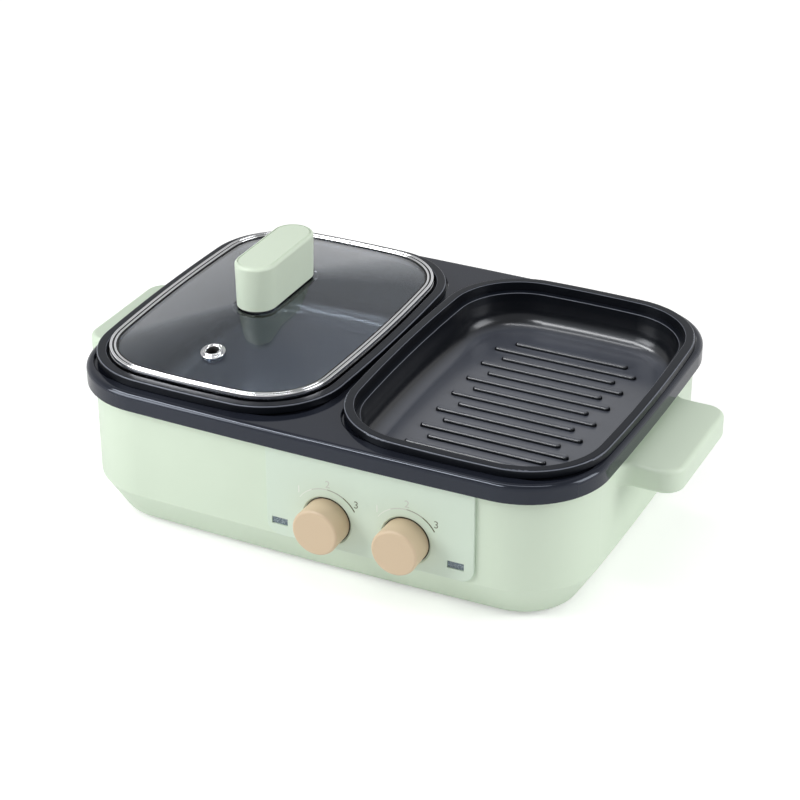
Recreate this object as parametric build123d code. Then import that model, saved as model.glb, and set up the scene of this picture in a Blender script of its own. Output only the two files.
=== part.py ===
from build123d import *
import os
from math import atan2, cos, radians, sin, sqrt, tan

# A twin table cooker: a deep hot pot with a glass lid on the left and a ribbed
# grill pan on the right, both lifting out of one housing with two heaters.
# Millimetres. +X runs to the user's right, -Y faces the user and +Z is up. The
# sub-parts are drawn about the middle of the housing, on the table, and are then
# moved so that the origin lies on the table under the middle of the overall box.

# ------------------------------------------------------------- pot and pan
vessel_half_x = 87.2          # outer half length of a vessel's flange, along X
vessel_half_y = 123.0         # the same along Y
vessel_bow_x = 5.0            # how far the two long sides swell
vessel_bow_y = 4.0            # how far the two short sides swell
vessel_corner = 54.0          # corner radius of the flange
vessel_gap = 2.6              # daylight between the two flanges
flange_thickness = 5.0
rim_width = 6.0               # flat top of the flange, out to in
rim_edge = 1.2                # rounding of the flange's outer edge
ledge_depth = 6.5             # rim top down to the ledge that carries the lid
ledge_width = 3.8
ledge_edge = 0.7              # rounding of the inner edges of rim and ledge
vessel_wall = 1.9
flange_lift = 0.5             # flange underside above the bezel
pot_depth = 60.0              # rim top to cooking floor
pot_floor_radius = 16.0
pan_depth = 30.5
pan_floor_radius = 12.0
vessel_floor = 4.0            # floor thickness of both vessels

# --------------------------------------------------------------- grill ribs
rib_count = 15
rib_pitch = 11.5
rib_width = 5.0
rib_height = 2.2
rib_rounding = 1.9
rib_long = 100.0
rib_short = 80.0
rib_sink = 0.5                # how deep a rib is rooted in the floor

# ------------------------------------------------------------------ housing
foot_height = 2.5             # table to housing
crease_height = 27.5          # table to the crease of the housing
bezel_base = 92.0             # table to the underside of the bezel
bezel_height = 12.0
tub_wall = 2.4
tub_side_gap = 2.8            # vessel body to the inside of the housing, along X
tub_front_gap = 8.9           # the same along Y
tub_bow_x = 2.5
tub_bow_y = 2.9
tub_corner = 50.0
band_inset = 15.0             # how far the lower band goes in at the bottom
band_wall = 3.0               # level thickness of the sloping lower band
bottom_radius = 6.0
deck_thickness = 5.0
bezel_overhang_x = 5.0
bezel_overhang_y = 6.4
bezel_bow = 3.0
bezel_corner = 55.0
bezel_edge = 3.5
bezel_fit = 0.2               # housing wall to the bezel's inside
well_clearance = 0.8          # vessel step to the edge of its well
recess_margin = 1.8           # how far a well's recess reaches past the flange corner
recess_depth = 2.0
recess_corner = 38.0
recess_edge = 0.8             # rounding of a well's upper edge

# ------------------------------------------------------------- bottom cover
cover_border = 12.0           # housing left standing around the cover
cover_thickness = 2.4
cover_ledge = 8.0             # width of the ledge that the cover lies against
ledge_thickness = 2.4
cover_fit = 0.3
boss_radius = 3.5
boss_height = 9.0
screw_radius = 1.5
screw_head_radius = 2.8
screw_head_height = 1.6
vent_count = 9
vent_pitch = 9.0
vent_length = 46.0
vent_width = 3.2
foot_radius = 8.0
foot_stem_radius = 3.0
foot_barb_radius = 3.8
foot_barb_height = 1.8
foot_inset = 26.0             # from the cover's edges to a foot's centre

# ------------------------------------------------------------ bezel fixings
shelf_half = 18.0
shelf_reach = 23.0
shelf_thickness = 3.0
shelf_drop = 10.0             # deck underside to the shelf
shelf_screw_x = 9.0
shelf_screw_y = 15.0          # inside face of the housing to a screw's axis

# ------------------------------------------------------------- side handles
handle_reach = 36.5           # housing wall to the handle's outer edge
handle_half_width = 46.5
handle_thickness = 16.5
handle_drop = 5.5             # bezel underside to the handle's top
handle_corner = 13.0
handle_flare = 9.0
handle_edge = 3.0
handle_screw_y = 28.0
handle_screw_radius = 2.0
handle_screw_length = 13.0
countersink_radius = 3.9
countersink_depth = 2.0

# ------------------------------------------------------------ control panel
panel_left = -27.0
panel_right = 112.5
panel_rise = 0.8              # crease of the housing to the panel's lower edge
panel_top_gap = 0.2           # panel top to the bezel's underside
panel_thickness = 2.0
panel_corner = 9.0
panel_edge = 0.7
peg_radius = 2.0
peg_tail = 1.0                # how far a peg shows inside the housing
peg_inset = 6.5               # panel's sides to the outer pegs
peg_drop = 13.0               # panel's top to the upper pegs
peg_rise = 5.5                # panel's lower edge to the lower peg
first_knob = 41.7             # panel's left side to the left knob's axis
knob_spacing = 53.0
knob_rise = 19.2              # panel's lower edge to the knobs' axes
lens_inset_left = 9.0         # panel's left side to the middle of the left lens
lens_inset_right = 12.0       # the same on the right
lens_rise = 10.2              # panel's lower edge to the middle of the lenses

# ------------------------------------------------------- knobs and switches
knob_base_radius = 15.0
knob_front_radius = 15.3
knob_length = 17.2
knob_edge = 1.8
knob_wall = 2.4
knob_face = 3.0
knob_hub_radius = 6.0
knob_gap = 0.4                # knob back to the recess floor
dish_margin = 1.2             # recess around the knob
dish_depth = 1.0
dish_edge = 0.7               # rounding of the recess's edge
shaft_radius = 3.0
shaft_fit = 0.05              # radial running clearance in the switch
shaft_flat = 2.2              # axis to the flat of the D section
shaft_in_knob = 12.0
shaft_hole_radius = 4.2
bracket_gap = 3.0             # housing wall to the bracket
bracket_thickness = 1.2
bracket_low = 17.5            # bracket's lower edge below the switch axes
bracket_high = 18.0           # bracket's upper edge above them
bracket_margin = 23.5         # switch axis to the bracket's end
bracket_screw_inset = 5.0
bracket_screw_stop = 0.4      # screw tip to the bottom of its hole
switch_radius = 15.0
switch_depth = 20.0
switch_bore_depth = 14.0
bushing_radius = 5.0
nut_across_flats = 14.0
nut_thickness = 2.2
bushing_lead = 0.2            # bushing past its nut
tab_width = 6.3
tab_thickness = 0.8
tab_length = 8.0
tab_spacing = 14.0

# ---------------------------------------------------------- indicator lamps
lens_length = 11.0
lens_height = 5.0
lens_recess = 0.9             # panel face to the lens
lens_flange = 1.6
lens_flange_thickness = 1.2
lamp_radius = 2.0
lamp_length = 12.0
lamp_socket = 4.0             # how far the lamp goes into the lens
lead_radius = 0.4
lead_length = 5.0
lead_spacing = 2.0

# ------------------------------------------------------------------ heaters
plate_half_x = 55.0
plate_half_y = 80.0
plate_corner = 40.0
plate_thickness = 6.0
tube_radius = 3.3
tube_bend = 30.0              # centre line radius of the U bend
tube_straight = 35.0          # from the vessel's middle to the start of the bend
tube_end = 88.0
pin_radius = 1.3
pin_length = 9.0
post_x = 40.0
post_y = 60.0
post_radius = 5.0
post_neck_radius = 3.0
shield_gap = 14.5             # heating plate to the shield's floor
shield_margin_x = 7.0
shield_margin_y = 8.0
shield_corner = 30.0
shield_sheet = 1.0
shield_wall = 8.0
shield_hole_fit = 0.2
cutout_radius = 8.0
cutout_height = 9.0
cutout_y = 22.0
cutout_tab = 3.0              # half size of a cutout's tab

# -------------------------------------------------------- inlet and terminals
inlet_x = 60.0
inlet_z = 46.0
inlet_flange_length = 50.0
inlet_flange_height = 24.0
inlet_flange_thickness = 2.5
inlet_flange_corner = 5.0
inlet_body_length = 28.0
inlet_body_height = 20.5
inlet_body_depth = 22.0
socket_length = 24.5
socket_height = 16.5
socket_depth = 17.0
socket_chamfer = 4.5
inlet_pin_width = 2.0
inlet_pin_height = 4.0
inlet_pin_length = 10.0
inlet_pin_pitch = 7.0
inlet_pin_rise = 3.5
inlet_pin_tail = 8.0
inlet_screw_spacing = 40.0
inlet_screw_depth = 6.0       # past the inside of the wall
pad_margin = 3.0
pad_rise = 1.0                # flat pad on the rear wall, past the wall's swell
block_length = 34.0
block_width = 18.0
block_height = 12.0
block_x = 0.0
block_y = 70.0
block_poles = 3
block_floor = 4.0             # cover to the bottom of a screw hole
block_bore = 1.6              # radius of a wire hole
block_bore_rise = 6.0
block_web = 2.0               # half the web between the two wire holes
block_head_height = 1.0

# ---------------------------------------------------------------------- lid
lid_fit = 2.0                 # lid rim to the vessel's rim
lid_rim_wall = 1.8
lid_rim_height = 10.0
lid_rim_edge = 1.2
lid_lip = 2.7                 # how far the lips grip the glass
lid_lip_thickness = 1.3
lid_groove_height = 0.7
lid_groove_depth = 0.6
lid_groove_drop = 2.3         # rim top to the groove
glass_thickness = 3.4
glass_fit = 0.2
dome_rise = 13.8
dome_share = 0.7              # the dome's flat cap as a share of its reach
dome_steps = 5
grip_half_x = 14.0
grip_half_y = 38.2
grip_height = 30.4
grip_taper = 1.2              # degrees by which the grip widens upwards
grip_edge = 2.2
grip_wall = 2.6
grip_cap_inset = 2.0
grip_cap_depth = 2.2
grip_cap_gap = 0.35
grip_cap_edge = 0.5
grip_screw_y = 18.0
grip_screw_head = 4.0
grip_screw_head_height = 2.4
grip_boss_radius = 4.5
gasket_inset = 0.8
gasket_thickness = 1.2
cap_margin = 1.6              # flat of the glass around the grip
cap_bow_x = 1.0
cap_bow_y = 3.0
washer_radius = 5.5
washer_thickness = 1.0
vent_y = 82.0                 # from the lid's middle towards the front
vent_flange_radius = 7.9
vent_step_radius = 6.2
vent_tube_radius = 5.0
vent_bore_radius = 3.6
vent_flange_height = 1.1
vent_step_height = 1.3
vent_seat = 0.1
vent_edge = 0.5               # rounding of the vent's rings

# ---------------------------------------------------- places that follow on
bezel_top = bezel_base + bezel_height
rim_top = bezel_top + flange_lift + flange_thickness
ledge_top = rim_top - ledge_depth
ledge_inset = rim_width + ledge_width
body_inset = ledge_inset - vessel_wall
step_inset = rim_width - vessel_wall
vessel_x = vessel_half_x + vessel_gap / 2
pot_base = rim_top - pot_depth - vessel_floor
pan_base = rim_top - pan_depth - vessel_floor
tub_half_x = vessel_x + vessel_half_x - body_inset + tub_side_gap + tub_wall
tub_half_y = vessel_half_y - body_inset + tub_front_gap + tub_wall
tub_top = bezel_top - deck_thickness
cover_inset = band_inset + cover_border
cover_top = foot_height + cover_thickness
handle_top = bezel_base - handle_drop
handle_base = handle_top - handle_thickness
handle_middle = (handle_top + handle_base) / 2
handle_overlap = 3 * tub_wall
panel_base = crease_height + panel_rise
panel_top = bezel_base - panel_top_gap
knob_z = panel_base + knob_rise
lens_z = panel_base + lens_rise
knob_places = {
    "left": (panel_left + first_knob, knob_z),
    "right": (panel_left + first_knob + knob_spacing, knob_z),
}
lens_places = {
    "left": (panel_left + lens_inset_left, lens_z),
    "right": (panel_right - lens_inset_right, lens_z),
}
peg_places = [
    (panel_left + peg_inset, panel_top - peg_drop),
    (panel_left + first_knob + knob_spacing / 2, panel_top - peg_drop),
    (panel_right - peg_inset, panel_top - peg_drop),
    (panel_left + first_knob + knob_spacing / 2, panel_base + peg_rise),
]
vessel_places = {"left": (-vessel_x, pot_base), "right": (vessel_x, pan_base)}


class Outline:
    """A rectangle whose four sides are shallow arcs, with rounded corners."""

    def __init__(self, half_x, half_y, bow_x, bow_y, corner):
        self.half_x = half_x
        self.half_y = half_y
        self.bow_x = bow_x
        self.bow_y = bow_y
        self.corner = corner

    def face(self, inset=0.0, height=0.0):
        side_x = self.half_x - inset
        side_y = self.half_y - inset
        end_x = side_x - self.bow_x
        end_y = side_y - self.bow_y
        corners = [(-end_x, -end_y), (end_x, -end_y), (end_x, end_y), (-end_x, end_y)]
        swells = [(0, -side_y), (side_x, 0), (0, side_y), (-side_x, 0)]
        sides = [
            ThreePointArc(corners[i], swells[i], corners[(i + 1) % 4])
            for i in range(4)
        ]
        flat = Face(Wire(sides))
        return Pos(0, 0, height) * flat.fillet_2d(self.corner - inset, flat.vertices())

    def prism(self, low, high, inset=0.0):
        return Part() + extrude(self.face(inset, low), high - low, dir=(0, 0, 1))

    def front_at(self, x):
        """Y of the front side at a given X, along its shallow arc."""
        chord = self.half_x - self.bow_x
        radius = (chord**2 + self.bow_y**2) / (2 * self.bow_y)
        return radius - self.half_y - sqrt(radius**2 - x**2)

    def side_at(self, y):
        """X of the right side at a given Y, along its shallow arc."""
        chord = self.half_y - self.bow_y
        radius = (chord**2 + self.bow_x**2) / (2 * self.bow_x)
        return self.half_x - radius + sqrt(radius**2 - y**2)

    def blended(self, other, share):
        """An outline part of the way from this one to another."""
        pairs = zip(self.values(), other.values())
        return Outline(*[a + (b - a) * share for a, b in pairs])

    def values(self):
        return self.half_x, self.half_y, self.bow_x, self.bow_y, self.corner


vessel = Outline(vessel_half_x, vessel_half_y, vessel_bow_x, vessel_bow_y, vessel_corner)
tub = Outline(tub_half_x, tub_half_y, tub_bow_x, tub_bow_y, tub_corner)
bezel = Outline(
    tub_half_x + bezel_overhang_x,
    tub_half_y + bezel_overhang_y,
    bezel_bow,
    bezel_bow,
    bezel_corner,
)


def upright(radius, low, high, x=0.0, y=0.0):
    """A cylinder standing along Z."""
    return Pos(x, y, (low + high) / 2) * Cylinder(radius, high - low)


def lying(radius, near, far, x, z):
    """A cylinder lying along Y, from its near end to its far end."""
    return Pos(x, (near + far) / 2, z) * Rot(90, 0, 0) * Cylinder(radius, far - near)


def block(low, high):
    """A box between two corners."""
    size = [b - a for a, b in zip(low, high)]
    middle = [(a + b) / 2 for a, b in zip(low, high)]
    return Pos(*middle) * Box(*size)


def rounded_block(half_x, half_y, corner, low, high):
    """A box standing along Z with round upright corners, centred on the Z axis."""
    face = RectangleRounded(2 * half_x, 2 * half_y, corner)
    return extrude(Pos(0, 0, low) * face, high - low)


def stadium(half_x, half_y, low, high):
    """A standing prism with half round ends along Y."""
    face = Rot(0, 0, 90) * SlotOverall(2 * half_y, 2 * half_x)
    return extrude(Pos(0, 0, low) * face, high - low)


def group(solids):
    """Several separate solids kept as one node."""
    return Compound([solid for item in solids for solid in item.solids()])


def rounded_inside(body, height, radius):
    """A body with the inner edges of its level face at a given height rounded."""
    level = [f for f in body.faces() if abs(f.normal_at().Z) > 0.99]
    rings = [f for f in level if abs(f.center().Z - height) < 0.01 and f.inner_wires()]
    edges = [edge for f in rings for wire in f.inner_wires() for edge in wire.edges()]
    return Part() + body.solid().fillet(radius, edges)


def mirrored_places(x, y):
    return [(sx * x, sy * y) for sx in (-1, 1) for sy in (-1, 1)]


# -------------------------------------------------------------- the housing
def cover_screw_places():
    edge_x = tub_half_x - cover_inset - cover_ledge / 2
    edge_y = tub_half_y - cover_inset - cover_ledge / 2
    quarter_x = edge_x / 2
    return [(-edge_x, 0), (edge_x, 0)] + mirrored_places(quarter_x, edge_y - tub_bow_y / 4)


def shelf_screw_places():
    return mirrored_places(shelf_screw_x, tub_half_y - tub_wall - shelf_screw_y)


def band(outer_inset, low, inset):
    """The sloping lower part of the housing, up to the crease."""
    faces = [tub.face(outer_inset, low), tub.face(inset, crease_height)]
    return Part() + loft(faces, ruled=True)


def tub_shell():
    slope = band_inset / (crease_height - foot_height)
    floor_top = cover_top + ledge_thickness
    inner_inset = slope * (crease_height - floor_top) + band_wall
    outside = tub.prism(crease_height, tub_top) + band(band_inset, foot_height, 0)
    outside = fillet(outside.edges().group_by(Axis.Z)[0], bottom_radius)
    inside = tub.prism(crease_height, tub_top + 1, tub_wall)
    inside += band(inner_inset, floor_top, tub_wall)
    shell = outside - inside
    shell -= tub.prism(foot_height - 1, cover_top, cover_inset)
    shell -= tub.prism(foot_height, floor_top + 1, cover_inset + cover_ledge)
    return shell


def shelves():
    """Two shelves inside the front and rear walls that the bezel screws onto."""
    high = tub_top - shelf_drop
    wall_middle = tub_half_y - tub_wall / 2
    shelf = block(
        (-shelf_half, -wall_middle, high - shelf_thickness),
        (shelf_half, shelf_reach - wall_middle, high),
    )
    return shelf + mirror(shelf, Plane.XZ)


def inlet_pad():
    half_length = inlet_flange_length / 2 + pad_margin
    half_height = inlet_flange_height / 2 + pad_margin
    return block(
        (inlet_x - half_length, tub_half_y - tub_wall, inlet_z - half_height),
        (inlet_x + half_length, tub_half_y + pad_rise, inlet_z + half_height),
    )


def bracket_plane():
    """Y of the bracket's front face."""
    return tub_wall + bracket_gap - tub_half_y


def bracket_ends():
    left = knob_places["left"][0] - bracket_margin
    right = knob_places["right"][0] + bracket_margin
    return left, right


def bracket_screw_places():
    left, right = bracket_ends()
    return [
        (x, z)
        for x in (left + bracket_screw_inset, right - bracket_screw_inset)
        for z in (
            knob_z - bracket_low + bracket_screw_inset,
            knob_z + bracket_high - bracket_screw_inset,
        )
    ]


def base_tub():
    shell = tub_shell() + shelves() + inlet_pad()
    for x, y in cover_screw_places():
        shell += upright(boss_radius, cover_top, cover_top + boss_height, x, y)
        shell -= upright(screw_radius, foot_height, cover_top + boss_height + 1, x, y)
    for x, y in shelf_screw_places():
        high = tub_top - shelf_drop
        shell -= upright(screw_radius, high - shelf_thickness - 1, high + 1, x, y)
    for x, z in bracket_screw_places():
        wall_middle = tub.front_at(x) + tub_wall / 2
        shell += lying(boss_radius, wall_middle, bracket_plane(), x, z)
        shell -= lying(screw_radius, wall_middle, bracket_plane() + 1, x, z)
    shell -= front_wall_holes()
    for screw in side_handle_screw_solids():
        shell -= screw
    shell -= inlet_housing(socket=False)
    for screw in inlet_screw_solids():
        shell -= screw
    return shell


def front_wall_holes():
    inside = tub_wall + 1 - tub_half_y + tub_bow_y
    outside = -tub_half_y - 1
    holes = Part()
    for x, z in knob_places.values():
        holes += lying(shaft_hole_radius, outside, inside, x, z)
    for x, z in peg_places:
        holes += lying(peg_radius, outside, inside, x, z)
    for x, z in lens_places.values():
        holes += block(
            (x - lens_length / 2, outside, z - lens_height / 2),
            (x + lens_length / 2, inside, z + lens_height / 2),
        )
    return holes


def bottom_cover():
    cover = tub.prism(foot_height, cover_top, cover_inset + cover_fit)
    for x, y in cover_screw_places():
        cover -= upright(screw_radius, foot_height - 1, cover_top + 1, x, y)
        cover -= upright(screw_head_radius, foot_height - 1, foot_height + screw_head_height, x, y)
    for x, y in foot_places():
        cover -= upright(foot_stem_radius, foot_height - 1, cover_top + 1, x, y)
    slot = extrude(SlotOverall(vent_length, vent_width), cover_thickness + 2)
    for side in (-1, 1):
        for i in range(vent_count):
            row = (i - (vent_count - 1) / 2) * vent_pitch
            cover -= Pos(side * vessel_x, row, foot_height - 1) * slot
    return cover


def bottom_screws():
    screws = []
    for x, y in cover_screw_places():
        head = upright(screw_head_radius, foot_height, foot_height + screw_head_height, x, y)
        screws.append(head + upright(screw_radius, foot_height, cover_top + boss_height, x, y))
    return group(screws)


def foot_places():
    x = tub_half_x - cover_inset - foot_inset
    y = tub_half_y - cover_inset - foot_inset
    return mirrored_places(x, y)


def rubber_feet():
    feet = []
    for x, y in foot_places():
        foot = upright(foot_radius, 0, foot_height, x, y)
        foot += upright(foot_stem_radius, foot_height, cover_top, x, y)
        foot += upright(foot_barb_radius, cover_top, cover_top + foot_barb_height, x, y)
        feet.append(foot)
    return group(feet)


def top_bezel():
    body = bezel.prism(bezel_base, bezel_top)
    body = fillet(body.edges().group_by(Axis.Z)[-1], bezel_edge)
    body -= tub.prism(bezel_base - 1, tub_top, -bezel_fit)
    recess = Outline(
        vessel_half_x - step_inset + well_clearance + recess_margin / 2,
        vessel_half_y - step_inset + well_clearance + recess_margin / 2,
        vessel_bow_x,
        vessel_bow_y,
        recess_corner,
    )
    for x, base in vessel_places.values():
        body -= Pos(x, 0, 0) * recess.prism(bezel_top - recess_depth, bezel_top + 1)
    body = rounded_inside(body, bezel_top, recess_edge)
    for x, base in vessel_places.values():
        body -= Pos(x, 0, 0) * vessel.prism(bezel_base, bezel_top, step_inset - well_clearance)
    for x, y in shelf_screw_places():
        boss = upright(boss_radius, tub_top - shelf_drop, tub_top, x, y)
        body += boss - upright(screw_radius, tub_top - shelf_drop, tub_top, x, y)
    return body


def bezel_screws():
    low = tub_top - shelf_drop - shelf_thickness
    screws = []
    for x, y in shelf_screw_places():
        head = upright(screw_head_radius, low - screw_head_height, low, x, y)
        screws.append(head + upright(screw_radius, low, tub_top - 1, x, y))
    return group(screws)


# ------------------------------------------------------------- side handles
def side_handle(side):
    wide = handle_half_width + 1.5 * handle_flare
    wall = tub.side_at(wide)
    tip = tub_half_x + handle_reach
    root = tub_half_x - handle_overlap
    points = [
        (root, -wide),
        (wall, -wide),
        (wall, -handle_half_width),
        (tip, -handle_half_width),
        (tip, handle_half_width),
        (wall, handle_half_width),
        (wall, wide),
        (root, wide),
    ]
    face = Face(Wire.make_polygon(points, close=True))
    face = face.fillet_2d(handle_corner, [v for v in face.vertices() if v.X > tip - 1])
    flares = [v for v in face.vertices() if v.X < wall + 1 and abs(v.Y) < wide - 1]
    face = face.fillet_2d(handle_flare, flares)
    plate = Part() + extrude(Pos(0, 0, handle_base) * face, handle_thickness)
    rims = plate.edges().group_by(Axis.Z)
    plate = fillet(list(rims[0]) + list(rims[-1]), handle_edge)
    plate -= tub.prism(handle_base - 1, handle_top + 1)
    for screw in side_handle_screw_solids(sides=(1,)):
        plate -= screw
    return plate if side > 0 else mirror(plate, Plane.YZ)


def side_handle_screw_solids(sides=(-1, 1)):
    """Countersunk screws that go out through the housing wall into a handle."""
    screws = []
    for side in sides:
        for y in (-handle_screw_y, handle_screw_y):
            inner = tub.side_at(y) - tub_wall
            cone = Cone(countersink_radius, handle_screw_radius, countersink_depth)
            shank = Cylinder(handle_screw_radius, handle_screw_length)
            screw = Pos(0, 0, countersink_depth / 2) * cone
            screw += Pos(0, 0, handle_screw_length / 2) * shank
            screws.append(Pos(side * inner, y, handle_middle) * Rot(0, side * 90, 0) * screw)
    return screws


# ------------------------------------------------- panel, knobs and switches
def dish_floor(x):
    """Y of the recess floor behind a knob."""
    return tub.front_at(x) - panel_thickness + dish_depth


def control_panel():
    plate = tub.prism(panel_base, panel_top, -panel_thickness)
    plate -= tub.prism(panel_base - 1, panel_top + 1)
    width = panel_right - panel_left
    height = panel_top - panel_base + panel_corner
    shape = Pos((panel_left + panel_right) / 2, 0, panel_base + height / 2) * Rot(90, 0, 0)
    shape = shape * RectangleRounded(width, height, panel_corner)
    plate &= extrude(shape, 2 * tub_half_y, dir=(0, -1, 0))
    front = [e for e in plate.edges() if e.center().Y < tub.front_at(panel_right) - panel_thickness / 2]
    plate = fillet([e for e in front if e.center().Z < panel_top - 1], panel_edge)
    for x, z in knob_places.values():
        outer = -tub_half_y - panel_thickness - 1
        plate -= lying(knob_base_radius + dish_margin, outer, dish_floor(x), x, z)
    dish_width = 2 * (knob_base_radius + dish_margin)
    mouths = [
        e
        for e in plate.edges()
        if abs(e.bounding_box().size.X - dish_width) < 0.1
        and e.bounding_box().min.Y < tub.front_at(0) - panel_thickness + dish_depth / 2
    ]
    plate = fillet(mouths, dish_edge)
    for x, z in knob_places.values():
        plate -= lying(shaft_hole_radius, outer, dish_floor(x) + panel_thickness, x, z)
    for x, z in lens_places.values():
        plate -= block(
            (x - lens_length / 2, -tub_half_y - panel_thickness - 1, z - lens_height / 2),
            (x + lens_length / 2, 0, z + lens_height / 2),
        )
    for x, z in peg_places:
        wall = tub.front_at(x)
        plate += lying(peg_radius, wall - panel_thickness / 2, wall + tub_wall + peg_tail, x, z)
    return plate


def knob_back(x):
    """Y of a knob's rear face."""
    return dish_floor(x) - knob_gap


def switch_shaft(side):
    x, z = knob_places[side]
    bore_end = bracket_plane() + bracket_thickness + switch_bore_depth
    tip = knob_back(x) - shaft_in_knob
    shaft = lying(shaft_radius, tip, bore_end - 1, x, z)
    flat = block(
        (x - shaft_radius, tip - 1, z + shaft_flat),
        (x + shaft_radius, knob_back(x), z + shaft_radius + 1),
    )
    return shaft - flat


def knob(side):
    x, z = knob_places[side]
    body = Cone(knob_base_radius, knob_front_radius, knob_length)
    body = fillet(body.edges().sort_by(Axis.Z)[-1], knob_edge)
    hollow = Cylinder(knob_front_radius - knob_wall, knob_length - knob_face)
    hollow -= Cylinder(knob_hub_radius, knob_length - knob_face)
    body -= Pos(0, 0, -knob_face / 2) * hollow
    middle = knob_back(x) - knob_length / 2
    return Pos(x, middle, z) * Rot(90, 0, 0) * body - switch_shaft(side)


def control_bracket():
    left, right = bracket_ends()
    near = bracket_plane()
    far = near + bracket_thickness
    plate = block((left, near, knob_z - bracket_low), (right, far, knob_z + bracket_high))
    for x, z in knob_places.values():
        plate -= lying(bushing_radius, near - 1, far + 1, x, z)
    for x, z in bracket_screw_places():
        plate -= lying(screw_radius, near - 1, far + 1, x, z)
    return plate


def bracket_screws():
    far = bracket_plane() + bracket_thickness
    screws = []
    for x, z in bracket_screw_places():
        tip = tub.front_at(x) + tub_wall / 2 + bracket_screw_stop
        head = lying(screw_head_radius, far, far + screw_head_height, x, z)
        screws.append(head + lying(screw_radius, tip, far, x, z))
    return group(screws)


def switch_body(side):
    x, z = knob_places[side]
    near = bracket_plane() + bracket_thickness
    body = lying(switch_radius, near, near + switch_depth, x, z)
    body += lying(bushing_radius, bracket_plane() - nut_thickness - bushing_lead, near, x, z)
    bore = shaft_radius + shaft_fit
    body -= lying(bore, -tub_half_y, near + switch_bore_depth, x, z)
    back = near + switch_depth
    for offset in (-tab_spacing / 2, tab_spacing / 2):
        body += block(
            (x + offset - tab_thickness / 2, back - 1, z - tab_width / 2),
            (x + offset + tab_thickness / 2, back + tab_length, z + tab_width / 2),
        )
    return body


def switch_nuts():
    nuts = []
    for x, z in knob_places.values():
        hexagon = RegularPolygon(nut_across_flats / 2, 6, major_radius=False)
        nut = extrude(hexagon, nut_thickness)
        nut -= Cylinder(bushing_radius, 4 * nut_thickness)
        nuts.append(Pos(x, bracket_plane(), z) * Rot(90, 0, 0) * nut)
    return group(nuts)


def indicator_lens(side):
    x, z = lens_places[side]
    outer = tub.front_at(x) - panel_thickness + lens_recess
    back = -tub_half_y + tub_bow_y + tub_wall + lens_flange_thickness
    lens = block(
        (x - lens_length / 2, outer, z - lens_height / 2),
        (x + lens_length / 2, back, z + lens_height / 2),
    )
    ring = block(
        (x - lens_length / 2 - lens_flange, -tub_half_y, z - lens_height / 2 - lens_flange),
        (x + lens_length / 2 + lens_flange, back, z + lens_height / 2 + lens_flange),
    )
    lens += ring & tub.prism(0, bezel_base, tub_wall)
    return lens - lying(lamp_radius, back - lamp_socket, back + 1, x, z)


def indicator_lamp(side):
    x, z = lens_places[side]
    back = -tub_half_y + tub_bow_y + tub_wall + lens_flange_thickness
    lamp = lying(lamp_radius, back - lamp_socket, back - lamp_socket + lamp_length, x, z)
    tail = back - lamp_socket + lamp_length
    for offset in (-lead_spacing / 2, lead_spacing / 2):
        lamp += lying(lead_radius, tail - 1, tail + lead_length, x + offset, z)
    return lamp


# ------------------------------------------------------------------ heaters
def tube_solid(side):
    """The U-shaped heating tube with its two contact pins."""
    x, base = vessel_places[side]
    height = base - plate_thickness
    path = Polyline((-tube_bend, tube_end), (-tube_bend, -tube_straight))
    path += ThreePointArc(
        (-tube_bend, -tube_straight),
        (0, -tube_straight - tube_bend),
        (tube_bend, -tube_straight),
    )
    path += Line((tube_bend, -tube_straight), (tube_bend, tube_end))
    start = Plane(origin=(-tube_bend, tube_end, 0), z_dir=(0, -1, 0))
    tube = Part() + sweep(start * Circle(tube_radius), path)
    for end_x in (-tube_bend, tube_bend):
        tube += lying(pin_radius, tube_end - 1, tube_end + pin_length, end_x, 0)
    return Pos(x, 0, height) * tube


def heating_plate(side):
    x, base = vessel_places[side]
    plate = rounded_block(plate_half_x, plate_half_y, plate_corner, base - plate_thickness, base)
    return Pos(x, 0, 0) * plate - tube_solid(side)


def shield_base(side):
    return vessel_places[side][1] - plate_thickness - shield_gap - shield_sheet


def heat_shield(side):
    x, base = vessel_places[side]
    low = shield_base(side)
    half_x = plate_half_x + shield_margin_x
    half_y = plate_half_y + shield_margin_y
    tray = rounded_block(half_x, half_y, shield_corner, low, low + shield_wall)
    tray -= rounded_block(
        half_x - shield_sheet,
        half_y - shield_sheet,
        shield_corner - shield_sheet,
        low + shield_sheet,
        low + shield_wall + 1,
    )
    for px, py in mirrored_places(post_x, post_y):
        tray -= upright(post_neck_radius + shield_hole_fit, low - 1, low + 2, px, py)
    return Pos(x, 0, 0) * tray


def plate_posts(side):
    x, base = vessel_places[side]
    low = shield_base(side)
    posts = []
    for px, py in mirrored_places(post_x, post_y):
        post = upright(post_radius, cover_top, low, x + px, py)
        posts.append(post + upright(post_neck_radius, low, base - plate_thickness, x + px, py))
    return group(posts)


def thermal_cutout(side):
    x, base = vessel_places[side]
    high = base - plate_thickness
    middle = high - cutout_height / 2
    can = upright(cutout_radius, high - cutout_height, high, x, cutout_y)
    for offset in (-1, 1):
        tab_x = x + offset * (cutout_radius - 1)
        can += block(
            (tab_x - cutout_tab, cutout_y - cutout_tab, middle - tab_thickness / 2),
            (tab_x + cutout_tab, cutout_y + cutout_tab, middle + tab_thickness / 2),
        )
    return can


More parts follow.
